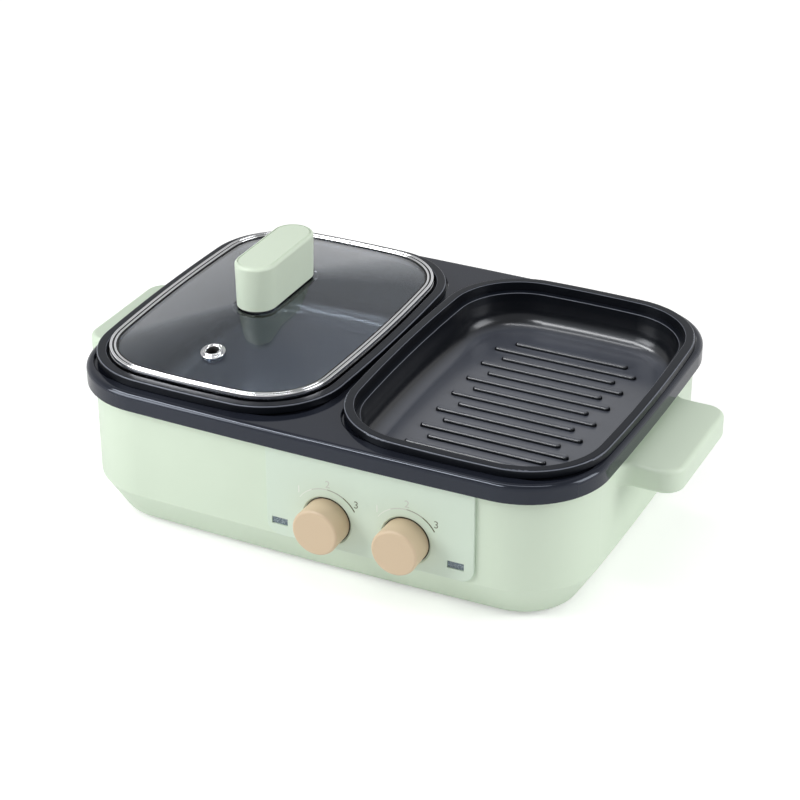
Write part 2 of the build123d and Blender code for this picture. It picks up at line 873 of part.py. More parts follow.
# ------------------------------------------------------- inlet and terminals
def inlet_housing(socket=True):
    face = tub_half_y + pad_rise
    half_length = inlet_body_length / 2
    half_height = inlet_body_height / 2
    body = block(
        (inlet_x - half_length, face - inlet_body_depth, inlet_z - half_height),
        (inlet_x + half_length, face + inlet_flange_thickness, inlet_z + half_height),
    )
    shape = Pos(inlet_x, face, inlet_z) * Rot(90, 0, 0)
    shape = shape * RectangleRounded(inlet_flange_length, inlet_flange_height, inlet_flange_corner)
    body += extrude(shape, inlet_flange_thickness, dir=(0, 1, 0))
    if socket:
        mouth = face + inlet_flange_thickness
        outline = Rectangle(socket_length, socket_height)
        outline = chamfer(outline.vertices().group_by(Axis.Y)[-1], socket_chamfer)
        shape = Pos(inlet_x, mouth, inlet_z) * Rot(90, 0, 0) * outline
        body -= extrude(shape, socket_depth, dir=(0, -1, 0))
        for item in inlet_pin_solids() + inlet_screw_solids():
            body -= item
    return body


def inlet_pin_solids():
    face = tub_half_y + pad_rise
    floor = face + inlet_flange_thickness - socket_depth
    pins = []
    for step, rise in ((-1, 0), (0, inlet_pin_rise), (1, 0)):
        x = inlet_x + step * inlet_pin_pitch
        z = inlet_z + rise - inlet_pin_rise / 2
        pins.append(
            block(
                (
                    x - inlet_pin_width / 2,
                    face - inlet_body_depth - inlet_pin_tail,
                    z - inlet_pin_height / 2,
                ),
                (x + inlet_pin_width / 2, floor + inlet_pin_length, z + inlet_pin_height / 2),
            )
        )
    return pins


def inlet_screw_solids():
    face = tub_half_y + pad_rise
    outer = face + inlet_flange_thickness
    screws = []
    for side in (-1, 1):
        x = inlet_x + side * inlet_screw_spacing / 2
        screw = lying(screw_head_radius, outer, outer + screw_head_height, x, inlet_z)
        tip = face - tub_wall - inlet_screw_depth
        screws.append(screw + lying(screw_radius, tip, outer, x, inlet_z))
    return screws


def terminal_block():
    body = block(
        (block_x - block_length / 2, block_y - block_width / 2, cover_top),
        (block_x + block_length / 2, block_y + block_width / 2, cover_top + block_height),
    )
    for x in terminal_places():
        low = cover_top + block_floor
        body -= upright(screw_radius, low, cover_top + block_height + 1, x, block_y)
        bore_z = cover_top + block_bore_rise
        body -= lying(block_bore, block_y - block_width, block_y - block_web, x, bore_z)
        body -= lying(block_bore, block_y + block_web, block_y + block_width, x, bore_z)
    return body


def terminal_places():
    pitch = block_length / block_poles
    return [block_x + (i - (block_poles - 1) / 2) * pitch for i in range(block_poles)]


def terminal_screws():
    top = cover_top + block_height
    screws = []
    for x in terminal_places():
        screw = upright(screw_radius, cover_top + block_floor, top, x, block_y)
        head = upright(screw_head_radius, top, top + block_head_height, x, block_y)
        screws.append(screw + head)
    return group(screws)


# ------------------------------------------------------------ pot and pan
def vessel_blank(base, floor_radius):
    """A vessel with its flange, lid ledge and cooking hollow, on the Z axis."""
    flange = vessel.prism(rim_top - flange_thickness, rim_top)
    flange = fillet(flange.edges().group_by(Axis.Z)[-1], rim_edge)
    step = vessel.prism(ledge_top - vessel_wall, rim_top - 1, step_inset)
    body = vessel.prism(base, ledge_top, body_inset)
    body = fillet(body.edges().group_by(Axis.Z)[0], floor_radius + vessel_wall)
    blank = flange + step + body
    hollow = vessel.prism(base + vessel_floor, rim_top + 1, ledge_inset)
    hollow = fillet(hollow.edges().group_by(Axis.Z)[0], floor_radius)
    blank -= hollow
    blank -= vessel.prism(ledge_top, rim_top + 1, rim_width)
    for height in (rim_top, ledge_top):
        blank = rounded_inside(blank, height, ledge_edge)
    return blank


def hot_pot():
    return Pos(-vessel_x, 0, 0) * vessel_blank(pot_base, pot_floor_radius)


def grill_pan():
    pan = vessel_blank(pan_base, pan_floor_radius)
    floor = pan_base + vessel_floor
    for i in range(rib_count):
        length = rib_short if i % 2 == 0 else rib_long
        y = (i - (rib_count - 1) / 2) * rib_pitch
        rib = extrude(SlotOverall(length, rib_width), rib_height + rib_sink)
        rib = fillet(rib.edges().group_by(Axis.Z)[-1], rib_rounding)
        pan += Pos(0, y, floor - rib_sink) * rib
    return Pos(vessel_x, 0, 0) * pan


# ---------------------------------------------------------------------- lid
lid_top = ledge_top + lid_rim_height
rim_inset = rim_width + lid_fit
lip_inset = rim_inset + lid_rim_wall + lid_lip
dome_inset = lip_inset + glass_fit
glass_high = lid_top - lid_lip_thickness
glass_low = glass_high - glass_thickness
dome_top = glass_high + dome_rise
grip_base = dome_top + gasket_thickness
grip_flare = grip_height * tan(radians(grip_taper))
cap = Outline(
    grip_half_x + cap_margin,
    grip_half_y + cap_margin,
    cap_bow_x,
    cap_bow_y,
    grip_half_x - cap_bow_x,
)


def dome_height(share):
    """Rise of the dome, from 0 at its edge to 1 at its flat cap."""
    reach = 1 - (1 - dome_share) * share
    return dome_rise * (1 - reach**2) / (1 - dome_share**2)


def dome(base):
    """The dome as a solid that stands on a level foot just inside the rim's lips."""
    foot = Outline(
        vessel_half_x - dome_inset,
        vessel_half_y - dome_inset,
        vessel_bow_x,
        vessel_bow_y,
        vessel_corner - dome_inset,
    )
    shares = [i / dome_steps for i in range(dome_steps + 1)]
    return Part() + loft([foot.blended(cap, a).face(0, base + dome_height(a)) for a in shares])


def vent_plane():
    """Frame of the steam vent: on the dome's top face, leaning with it."""
    foot_y = vessel_half_y - dome_inset
    share = (foot_y - vent_y) / (foot_y - cap.half_y)
    step = 0.01
    rise = dome_height(share + step) - dome_height(share - step)
    run = 2 * step * (foot_y - cap.half_y)
    lean = atan2(rise, run)
    origin = (-vessel_x, -vent_y, glass_high + dome_height(share))
    return Plane(origin=origin, x_dir=(1, 0, 0), z_dir=(0, -sin(lean), cos(lean)))


def lid_glass():
    glass = vessel.prism(glass_low, glass_high, rim_inset + lid_rim_wall + glass_fit)
    glass += dome(glass_high)
    glass -= dome(glass_low)
    glass = Pos(-vessel_x, 0, 0) * glass
    glass -= vent_plane().location * Cylinder(vent_tube_radius, 6 * glass_thickness)
    for screw in grip_screw_solids():
        glass -= screw
    return glass


def lid_rim():
    ring = vessel.prism(ledge_top, lid_top, rim_inset)
    ring = fillet(ring.edges().group_by(Axis.Z)[-1], lid_rim_edge)
    inner = rim_inset + lid_rim_wall
    ring -= vessel.prism(glass_low, glass_high, inner)
    ring -= vessel.prism(ledge_top - 1, glass_low - lid_lip_thickness, inner)
    ring -= vessel.prism(ledge_top - 1, lid_top + 1, lip_inset)
    groove_top = lid_top - lid_groove_drop
    groove = vessel.prism(groove_top - lid_groove_height, groove_top)
    groove -= vessel.prism(
        groove_top - lid_groove_height - 1,
        groove_top + 1,
        rim_inset + lid_groove_depth,
    )
    return Pos(-vessel_x, 0, 0) * (ring - groove)


def lid_vent_grommet():
    under = -glass_thickness - 2 * vent_seat
    high = vent_seat + vent_flange_height
    body = upright(vent_flange_radius, vent_seat, high)
    body += upright(vent_step_radius, high, high + vent_step_height)
    body += upright(vent_tube_radius, under - 1, high)
    body += upright(vent_flange_radius - 1, under - vent_flange_height, under)
    body -= Cylinder(vent_bore_radius, 10 * glass_thickness)
    rings = body.edges().filter_by(GeomType.CIRCLE)
    crowns = [e for e in rings if e.center().Z > high + vent_step_height / 2]
    crowns += [e for e in rings if abs(e.center().Z - high) < 0.01 and e.radius > vent_step_radius + 0.1]
    body = fillet(crowns, vent_edge)
    return vent_plane().location * body


def grip_screw_solids():
    head_top = dome_top - glass_thickness - washer_thickness
    screws = []
    for y in (-grip_screw_y, grip_screw_y):
        low = head_top - grip_screw_head_height
        head = upright(grip_screw_head, low, head_top, -vessel_x, y)
        shank = upright(handle_screw_radius, head_top, grip_base + grip_height / 2, -vessel_x, y)
        screws.append(head + shank)
    return screws


def lid_handle():
    high = grip_base + grip_height
    flat = Rot(0, 0, 90) * SlotOverall(2 * (grip_half_y - grip_flare), 2 * (grip_half_x - grip_flare))
    body = extrude(Pos(0, 0, grip_base) * flat, grip_height, taper=-grip_taper)
    body = Part() + fillet(body.edges().group_by(Axis.Z)[-1], grip_edge)
    hollow = stadium(
        grip_half_x - grip_flare - grip_wall,
        grip_half_y - grip_flare - grip_wall,
        grip_base,
        high - grip_cap_depth - grip_wall,
    )
    for y in (-grip_screw_y, grip_screw_y):
        hollow -= upright(grip_boss_radius, grip_base, high, 0, y)
    body -= hollow
    body -= stadium(
        grip_half_x - grip_cap_inset,
        grip_half_y - grip_cap_inset,
        high - grip_cap_depth,
        high + 1,
    )
    body = Pos(-vessel_x, 0, 0) * body
    for screw in grip_screw_solids():
        body -= screw
    return body


def lid_handle_cap():
    high = grip_base + grip_height
    inset = grip_cap_inset + grip_cap_gap
    plate = stadium(grip_half_x - inset, grip_half_y - inset, high - grip_cap_depth, high)
    plate = fillet(plate.edges().group_by(Axis.Z)[-1], grip_cap_edge)
    return Pos(-vessel_x, 0, 0) * plate


def lid_handle_gasket():
    inset = grip_flare + gasket_inset
    pad = stadium(grip_half_x - inset, grip_half_y - inset, dome_top, grip_base)
    pad = Pos(-vessel_x, 0, 0) * pad
    for screw in grip_screw_solids():
        pad -= screw
    return pad


def lid_handle_washers():
    high = dome_top - glass_thickness
    washers = []
    for y in (-grip_screw_y, grip_screw_y):
        washer = upright(washer_radius, high - washer_thickness, high, -vessel_x, y)
        washers.append(washer - upright(handle_screw_radius, high - 3, high + 1, -vessel_x, y))
    return group(washers)


pieces = {
    "base_tub": base_tub(),
    "bottom_cover": bottom_cover(),
    "bottom_screws": bottom_screws(),
    "rubber_feet": rubber_feet(),
    "top_bezel": top_bezel(),
    "bezel_screws": bezel_screws(),
    "side_handle_screws": group(side_handle_screw_solids()),
    "control_panel": control_panel(),
    "control_bracket": control_bracket(),
    "bracket_screws": bracket_screws(),
    "switch_nuts": switch_nuts(),
    "terminal_block": terminal_block(),
    "terminal_screws": terminal_screws(),
    "power_inlet": inlet_housing(),
    "inlet_pins": group(inlet_pin_solids()),
    "inlet_screws": group(inlet_screw_solids()),
    "hot_pot": hot_pot(),
    "grill_pan": grill_pan(),
    "lid_glass": lid_glass(),
    "lid_rim": lid_rim(),
    "lid_vent_grommet": lid_vent_grommet(),
    "lid_handle": lid_handle(),
    "lid_handle_cap": lid_handle_cap(),
    "lid_handle_gasket": lid_handle_gasket(),
    "lid_handle_screws": group(grip_screw_solids()),
    "lid_handle_washers": lid_handle_washers(),
}
for side, sign in (("left", -1), ("right", 1)):
    pieces[f"{side}_side_handle"] = side_handle(sign)
    pieces[f"{side}_knob"] = knob(side)
    pieces[f"{side}_switch_shaft"] = switch_shaft(side)
    pieces[f"{side}_switch_body"] = switch_body(side)
    pieces[f"{side}_indicator_lens"] = indicator_lens(side)
    pieces[f"{side}_indicator_lamp"] = indicator_lamp(side)
    pieces[f"{side}_heating_plate"] = heating_plate(side)
    pieces[f"{side}_heating_tube"] = tube_solid(side)
    pieces[f"{side}_heat_shield"] = heat_shield(side)
    pieces[f"{side}_plate_posts"] = plate_posts(side)
    pieces[f"{side}_thermal_cutout"] = thermal_cutout(side)

front = min(knob_back(x) for x, z in knob_places.values()) - knob_length
back = tub_half_y + bezel_overhang_y
to_origin = Pos(0, -(front + back) / 2, 0)
os.makedirs("parts", exist_ok=True)
for name, piece in pieces.items():
    export_step(to_origin * piece, f"parts/{name}.step")
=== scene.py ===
import math

import bmesh
import bpy
from bpy.props import FloatProperty, FloatVectorProperty, IntProperty, PointerProperty
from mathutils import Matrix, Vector
from mathutils.bvhtree import BVHTree


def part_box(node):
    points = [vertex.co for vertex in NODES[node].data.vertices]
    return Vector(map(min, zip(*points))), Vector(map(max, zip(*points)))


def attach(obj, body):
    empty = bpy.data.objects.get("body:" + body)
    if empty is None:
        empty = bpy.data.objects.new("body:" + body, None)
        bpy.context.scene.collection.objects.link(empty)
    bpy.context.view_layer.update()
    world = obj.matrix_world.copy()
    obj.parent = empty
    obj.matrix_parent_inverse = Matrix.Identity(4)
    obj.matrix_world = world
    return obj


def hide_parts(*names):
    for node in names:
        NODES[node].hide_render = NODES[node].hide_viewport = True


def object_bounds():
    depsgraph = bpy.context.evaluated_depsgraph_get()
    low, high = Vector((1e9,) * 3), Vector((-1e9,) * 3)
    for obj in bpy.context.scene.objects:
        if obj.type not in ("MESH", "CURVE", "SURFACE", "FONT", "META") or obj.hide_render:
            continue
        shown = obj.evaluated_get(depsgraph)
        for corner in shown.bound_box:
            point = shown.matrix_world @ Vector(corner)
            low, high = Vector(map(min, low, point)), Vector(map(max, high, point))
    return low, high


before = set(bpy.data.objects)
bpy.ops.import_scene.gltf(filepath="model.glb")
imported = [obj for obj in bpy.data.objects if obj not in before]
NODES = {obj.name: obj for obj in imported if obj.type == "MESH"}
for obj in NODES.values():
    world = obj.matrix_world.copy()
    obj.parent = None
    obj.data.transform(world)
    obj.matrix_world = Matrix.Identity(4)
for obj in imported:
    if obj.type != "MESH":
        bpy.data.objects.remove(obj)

bl_info = {
    "name": "Twin Table Cooker",
    "version": (1, 0, 0),
    "blender": (4, 5, 0),
    "location": "3D View > Sidebar > Cooker",
    "description": "Finishes and small details of a table cooker with a hot pot and a grill pan",
    "category": "Object",
}

MM = 0.001
CAD_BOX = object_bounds()
SIDES = ("left", "right")

# The values of a noise texture lie mostly between these two.
NOISE_LOW = 0.3
NOISE_HIGH = 0.7

BLACK = (0.0, 0.0, 0.0)
WHITE = (1.0, 1.0, 1.0)

# The soft boxes: width and height, place, and whether they light matte surfaces too.
SOFT_BOXES = {
    "key": ((0.6, 0.6), (-0.78, -0.76, 0.62), True),
    "fill": ((0.9, 0.9), (1.6, 0.35, 0.8), True),
    "top": ((1.3, 0.18), (0.0, -0.1, 1.5), True),
    "edge": ((1.5, 0.22), (-0.58, -0.62, 1.25), False),
}
LAMPS_AIM = Vector((0, 0, 0.05))
SENSOR_WIDTH = 36.0

# The lid rim's outline: how far its sides and its front and back bow out, and its corners.
RIM_SIDE_BOW = 5.0 * MM
RIM_FRONT_BOW = 4.0 * MM
RIM_CORNER = 46.0 * MM

# Pot and pan count as rim from this far under the pan's top.
RIM_DEPTH = 12 * MM

# The heat scale: pieces of its arc, and where along the arc its numerals stand.
ARC_PARTS = 4
FIRST_NUMERAL = 0.08
LAST_NUMERAL = 0.92
PRINT_THICKNESS = 0.05 * MM

# Height of a printed numeral as a share of its font size.
NUMERAL_SHARE = 0.7


def linear(red, green, blue):
    """A colour written as 0 to 255 screen values, as linear light."""
    def channel(value):
        share = value / 255
        return share / 12.92 if share <= 0.04045 else ((share + 0.055) / 1.055) ** 2.4
    return channel(red), channel(green), channel(blue)


# ------------------------------------------------------------------ settings
class FinishSettings(bpy.types.PropertyGroup):
    """Colours of the cooker's materials."""

    shell: FloatVectorProperty(
        name="Shell", description="Moulded housing and side handles",
        subtype="COLOR", min=0, max=1, default=linear(213, 228, 208))
    panel: FloatVectorProperty(
        name="Panel", description="Control panel plate",
        subtype="COLOR", min=0, max=1, default=linear(212, 228, 212))
    grip: FloatVectorProperty(
        name="Grip", description="Lid grip and its cap",
        subtype="COLOR", min=0, max=1, default=linear(216, 230, 210))
    knob: FloatVectorProperty(
        name="Knob", description="Control knobs",
        subtype="COLOR", min=0, max=1, default=linear(214, 192, 162))
    bezel: FloatVectorProperty(
        name="Bezel", description="Glossy dark bezel",
        subtype="COLOR", min=0, max=1, default=linear(31, 34, 43))
    coating: FloatVectorProperty(
        name="Coating", description="Non-stick coating on the walls of pot and pan",
        subtype="COLOR", min=0, max=1, default=linear(11, 13, 18))
    # Painted reflection: this paler colour on level faces stands in for the bright ceiling that
    # they mirror.
    coating_painted_sheen: FloatVectorProperty(
        name="Coating on level faces",
        description="The same coating where its spray settled thicker",
        subtype="COLOR", min=0, max=1, default=linear(84, 88, 98))
    coating_rim: FloatVectorProperty(
        name="Coating on rims", description="The same coating on the handled rims",
        subtype="COLOR", min=0, max=1, default=linear(16, 20, 28))
    # Painted highlight: this pale colour on the rounded rim edges stands in for the glints of the
    # lamps.
    coating_painted_highlight: FloatVectorProperty(
        name="Coating on edges",
        description="The same coating where handling has rubbed its rounded edges",
        subtype="COLOR", min=0, max=1, default=linear(112, 116, 126))
    glass: FloatVectorProperty(
        name="Glass", description="Tempered glass of the lid",
        subtype="COLOR", min=0, max=1, default=linear(208, 216, 225))
    print_pale: FloatVectorProperty(
        name="Pale print", description="Dial print at the low end",
        subtype="COLOR", min=0, max=1, default=linear(236, 242, 234))
    print_dark: FloatVectorProperty(
        name="Dark print", description="Dial print at the high end",
        subtype="COLOR", min=0, max=1, default=linear(92, 98, 72))


class DialSettings(bpy.types.PropertyGroup):
    """The printed heat scale and the dark ring round each knob, a painted shadow in the gap behind
    it.
    """

    radius: FloatProperty(
        name="Arc radius", description="Knob axis to the middle of the printed arc",
        default=22.0 * MM, min=0.0, unit="LENGTH")
    start: FloatProperty(
        name="Low end", description="Direction of the arc's low end",
        default=math.radians(146), unit="ROTATION")
    end: FloatProperty(
        name="High end", description="Direction of the arc's high end",
        default=math.radians(30), unit="ROTATION")
    thin: FloatProperty(
        name="Thin width", description="Width of the arc at its low end",
        default=0.35 * MM, min=0.0, unit="LENGTH")
    thick: FloatProperty(
        name="Thick width", description="Width of the arc at its high end",
        default=0.85 * MM, min=0.0, unit="LENGTH")
    numeral: FloatProperty(
        name="Numeral height", description="Height of the printed numerals",
        default=4.9 * MM, min=0.0, unit="LENGTH")
    steps: IntProperty(
        name="Heat steps", description="How many numerals the scale has",
        default=3, min=2, max=6)
    # Painted shadow: the dark ring stands in for the shadow in the gap between knob and panel.
    painted_shadow: FloatProperty(
        name="Felt overhang", description="How far the felt ring stands out round the knob",
        default=0.45 * MM, min=0.0, unit="LENGTH")


class LidSettings(bpy.types.PropertyGroup):
    """The lid's rolled rim and its steam vent."""

    outer_bead: FloatProperty(
        name="Outer bead", description="Radius of the bead rolled along the rim's outer edge",
        default=0.95 * MM, min=0.0, unit="LENGTH")
    inner_bead: FloatProperty(
        name="Inner bead", description="Radius of the bead rolled along the rim's inner edge",
        default=0.85 * MM, min=0.0, unit="LENGTH")
    # Painted shade: a dark bead fills the groove between the two beads, standing in for the shadow
    # in it.
    groove_shadow: FloatProperty(
        name="Joint", description="Radius of the dark joint between the two beads",
        default=0.48 * MM, min=0.0, unit="LENGTH")
    seal: FloatProperty(
        name="Seal", description="Radius of the dark seal between rim and glass",
        default=0.6 * MM, min=0.0, unit="LENGTH")
    vent: FloatProperty(
        name="Vent flange", description="Outer radius of the steam vent's flange",
        default=7.9 * MM, min=0.0, unit="LENGTH")
    bore: FloatProperty(
        name="Vent bore", description="Radius of the steam vent's opening",
        default=4.1 * MM, min=0.0, unit="LENGTH")


class StageSettings(bpy.types.PropertyGroup):
    """Camera, lamps and the light of the room."""

    place: FloatVectorProperty(
        name="Camera place", description="Where the camera stands",
        subtype="TRANSLATION", unit="LENGTH", default=(0.5803, -1.18265, 0.7871))
    azimuth: FloatProperty(
        name="Azimuth", description="Camera's turn to the right of the front",
        default=math.radians(25.95), unit="ROTATION")
    elevation: FloatProperty(
        name="Elevation", description="Camera's tilt above level",
        default=math.radians(28.64), unit="ROTATION")
    lens: FloatProperty(
        name="Lens", description="Focal length on a 36 mm sensor, in millimetres",
        default=104.18, min=1.0)
    key: FloatProperty(
        name="Key lamp", description="Power of the large lamp at the front left",
        default=7.2, min=0.0, unit="POWER")
    fill: FloatProperty(
        name="Fill lamp", description="Power of the soft lamp at the right",
        default=12.0, min=0.0, unit="POWER")
    top: FloatProperty(
        name="Top lamp", description="Power of the overhead soft box",
        default=4.0, min=0.0, unit="POWER")
    edge: FloatProperty(
        name="Edge lamp", description="Power of the strip that only glossy surfaces mirror",
        default=15.0, min=0.0, unit="POWER")
    room: FloatProperty(
        name="Room light", description="Strength of the light from all around",
        default=0.47, min=0.0)
    wall: FloatProperty(
        name="Wall", description="Brightness that a mirror finish finds between floor and ceiling",
        default=0.6, min=0.0, max=1.0)
    ceiling: FloatProperty(
        name="Ceiling", description="Brightness that a mirror finish finds overhead",
        default=0.3, min=0.0, max=1.0)


# ----------------------------------------------------------------- materials
def shade(colour, share):
    """A darker or lighter shade of a colour."""
    return tuple(min(1.0, channel * share) for channel in colour)


class Wiring:
    """The shader nodes of one tree, and ways to join them."""

    def __init__(self, tree):
        self.tree = tree

    def feed(self, value, socket):
        """A socket takes another node's output, or a plain number or colour."""
        if hasattr(value, "links"):
            self.tree.links.new(value, socket)
        else:
            socket.default_value = value

    def node(self, kind, sockets=(), **options):
        """A new node with its options set and its input sockets fed."""
        made = self.tree.nodes.new("ShaderNode" + kind)
        for option, value in options.items():
            setattr(made, option, value)
        for name, value in dict(sockets).items():
            self.feed(value, made.inputs[name])
        return made

    def upward(self, vector):
        """The Z of a vector."""
        return self.node("SeparateXYZ", {"Vector": vector}).outputs["Z"]

    def combined(self, operation, first, second):
        """Two numbers put through one operation."""
        return self.node("Math", {0: first, 1: second}, operation=operation).outputs["Value"]

    def between(self, share, first, second):
        """The first number where the share is 0, the second where it is 1."""
        return self.node("Mix", {"Factor": share, "A": first, "B": second}).outputs["Result"]

    def blend(self, share, first, second, way="MIX"):
        """Two colours blended, the second by a share."""
        sockets = {"Factor": share, "A": first, "B": second}
        return self.node("Mix", sockets, data_type="RGBA", blend_type=way).outputs["Result"]

    def ramp(self, source, stops):
        """A colour ramp; stops are (position, colour) pairs."""
        made = self.node("ValToRGB", {"Fac": source})
        elements = made.color_ramp.elements
        while len(elements) < len(stops):
            elements.new(0.5)
        for element, (position, colour) in zip(elements, stops):
            element.position = position
            element.color = (*colour, 1.0)
        return made.outputs["Color"]

    def spread(self, source, low, high, from_low=NOISE_LOW, from_high=NOISE_HIGH):
        """A number stretched from one range to another, and kept inside it."""
        sockets = {"Value": source, "From Min": from_low, "From Max": from_high,
                   "To Min": low, "To Max": high}
        return self.node("MapRange", sockets).outputs["Result"]


class Finish(Wiring):
    """A procedural material around its one shader."""

    def __init__(self, name):
        self.material = bpy.data.materials.new(name)
        self.material.use_nodes = True
        super().__init__(self.material.node_tree)
        self.shader = self.tree.nodes["Principled BSDF"]
        directions = self.node("TexCoord").outputs
        self.space = directions["Object"]
        self.facing = directions["Normal"]

    def stretched(self, x=1.0, y=1.0, z=1.0):
        """Object space squeezed or stretched along its axes."""
        return self.node("Mapping", {"Vector": self.space, "Scale": (x, y, z)}).outputs["Vector"]

    def noise(self, scale, detail=3.0, roughness=0.55, space=None):
        """A cloudy pattern; the scale counts its features in a metre."""
        sockets = {"Vector": space or self.space, "Scale": scale, "Detail": detail,
                   "Roughness": roughness}
        return self.node("TexNoise", sockets).outputs["Fac"]

    def cells(self, scale, space=None):
        """Distance from the middles of scattered cells; the scale counts them in a metre."""
        sockets = {"Vector": space or self.space, "Scale": scale}
        return self.node("TexVoronoi", sockets).outputs["Distance"]

    def drift(self, noise, colour, darkest, palest):
        """A colour that wanders between two shades of itself."""
        return self.ramp(noise, [
            (NOISE_LOW, shade(colour, darkest)), (NOISE_HIGH, shade(colour, palest))])

    def bump(self, source, distance, strength=1.0):
        """Small relief, as a normal."""
        sockets = {"Height": source, "Distance": distance, "Strength": strength}
        return self.node("Bump", sockets).outputs["Normal"]

    def set(self, **values):
        """Numbers that are the same all over, straight on the shader."""
        for key, value in values.items():
            self.shader.inputs[key.replace("_", " ")].default_value = value

    def paint(self, colour, roughness, normal=None):
        """Joins colour, roughness and relief to the shader and gives the material."""
        self.feed(colour, self.shader.inputs["Base Color"])
        self.feed(roughness, self.shader.inputs["Roughness"])
        if normal:
            self.feed(normal, self.shader.inputs["Normal"])
        return self.material


def moulded(name, colour, rough=0.36, uneven=0.05, grain=0.01 * MM, drift=0.03):
    """Moulded plastic: slow colour drift, fine spark-eroded grain and uneven sheen."""
    finish = Finish(name)
    tint = finish.drift(finish.noise(scale=9.0, detail=2.0), colour, 1 - drift, 1 + drift)
    sheen = finish.spread(
        finish.noise(scale=60.0, detail=4.0), rough - uneven, rough + uneven)
    eroded = finish.bump(finish.noise(scale=1600.0, detail=2.0), grain)
    return finish.paint(tint, sheen, eroded)


def gloss(name, colour):
    """High-gloss dark plastic with faint flow waviness and hairline scuffs."""
    finish = Finish(name)
    tint = finish.drift(finish.noise(scale=14.0, detail=2.0), colour, 0.92, 1.08)
    scuffs = finish.noise(
        scale=900.0, detail=5.0, roughness=0.7, space=finish.stretched(y=0.12))
    sheen = finish.spread(scuffs, 0.08, 0.14, from_low=0.45, from_high=0.75)
    waves = finish.bump(finish.noise(scale=45.0, detail=1.0), 0.01 * MM)
    finish.set(IOR=1.52, Specular_Tint=(0.80, 0.87, 1.0, 1.0))
    return finish.paint(tint, sheen, waves)


def non_stick(name, wall, level, rim, edge, rim_height):
    """Sprayed non-stick coating: flecks, orange peel and a lacquer that settled on floors.

    Inside a vessel level faces are painted paler, a painted reflection of the bright ceiling, and
    above rim_height the rounded edges carry a painted highlight.
    """
    finish = Finish(name)
    upright = finish.upward(finish.facing)
    above = finish.spread(
        finish.upward(finish.space), 0.0, 1.0, rim_height - 1.0 * MM, rim_height)
    # Painted reflection: faces inside turn from the dark wall colour to a paler one as they face
    # up.
    hollow = finish.ramp(upright, [(0.7, wall), (0.992, level)])
    # Painted highlight: above the rim height, rounded edges between upright and level take a pale
    # colour.
    brim = finish.ramp(upright, [(0.3, wall), (0.55, edge), (0.75, edge), (0.94, rim)])
    # Painted light: the paler level faces inside, and the painted highlights on rounded edges
    # above the rim height.
    coating_painted_light = finish.blend(above, hollow, brim)
    clouds = finish.drift(finish.noise(scale=26.0, detail=3.0), WHITE, 0.88, 1.0)
    cloudy = finish.blend(1.0, coating_painted_light, clouds, "MULTIPLY")
    flecks = finish.ramp(finish.cells(scale=1500.0), [
        (0.05, (0.10, 0.11, 0.13)), (0.22, BLACK)])
    flecked = finish.blend(0.08, cloudy, flecks, "ADD")
    sheen = finish.spread(finish.noise(scale=35.0, detail=4.0), 0.28, 0.36)
    peel = finish.bump(
        finish.noise(scale=420.0, detail=3.0, roughness=0.6), 0.01 * MM, strength=0.5)
    settled = finish.spread(upright, 0.25, 1.0, from_low=0.35, from_high=0.97)
    kept = finish.spread(above, 1.0, 0.1, from_low=0.0, from_high=1.0)
    lacquer = finish.combined("MULTIPLY", settled, kept)
    finish.feed(lacquer, finish.shader.inputs["Coat Weight"])
    finish.set(Specular_IOR_Level=0.22, Specular_Tint=(0.78, 0.86, 1.0, 1.0),
               Coat_IOR=1.7, Coat_Roughness=0.2)
    return finish.paint(flecked, sheen, peel)


def metal(name, colour, rough, grain, along=(1.0, 1.0, 1.0), drift=0.06):
    """Bare or plated metal with a drawn or brushed grain."""
    finish = Finish(name)
    streaks = finish.noise(
        scale=700.0, detail=4.0, roughness=0.6, space=finish.stretched(*along))
    tint = finish.drift(streaks, colour, 1 - drift, 1 + drift)
    sheen = finish.spread(streaks, rough * 0.75, rough * 1.25)
    finish.set(Metallic=1.0)
    return finish.paint(tint, sheen, finish.bump(streaks, grain))


def rubber(name, colour):
    """Matte rubber, silicone or felt: open pores with pale dust in them."""
    finish = Finish(name)
    dust = finish.noise(scale=160.0, detail=5.0, roughness=0.65)
    tint = finish.ramp(dust, [(0.35, colour), (0.8, shade(colour, 1.6))])
    pores = finish.bump(finish.cells(scale=2200.0), 0.03 * MM)
    return finish.paint(tint, finish.spread(dust, 0.62, 0.78), pores)


def clear_glass(name, colour):
    """Tinted clear glass with the slight waves of a pressed sheet."""
    finish = Finish(name)
    tint = finish.drift(finish.noise(scale=6.0, detail=1.0), colour, 0.985, 1.0)
    sheen = finish.spread(finish.noise(scale=300.0, detail=4.0), 0.0, 0.02)
    waves = finish.bump(finish.noise(scale=22.0, detail=1.0), 0.01 * MM)
    finish.set(IOR=1.6, Transmission_Weight=1.0, Specular_Tint=(0.88, 0.92, 1.0, 1.0))
    return finish.paint(tint, sheen, waves)


def smoky_lens(name):
    """Moulded lens of an indicator, with a fine prism pattern behind it."""
    finish = Finish(name)
    prisms = finish.cells(scale=1400.0, space=finish.stretched(z=1.3))
    tint = finish.ramp(prisms, [
        (0.0, linear(46, 60, 74)), (0.45, linear(84, 100, 112)), (0.9, linear(150, 166, 174))])
    sheen = finish.spread(finish.noise(scale=500.0, detail=2.0), 0.12, 0.25)
    finish.set(Coat_Weight=0.6, Coat_Roughness=0.06)
    return finish.paint(tint, sheen, finish.bump(prisms, 0.08 * MM, strength=0.6))


def printed(name, colour):
    """A pad-printed ink with tiny pinholes."""
    finish = Finish(name)
    pinholes = finish.noise(scale=4200.0, detail=2.0)
    tint = finish.drift(pinholes, colour, 0.94, 1.05)
    return finish.paint(tint, finish.spread(pinholes, 0.4, 0.5),
                        finish.bump(pinholes, 0.005 * MM))


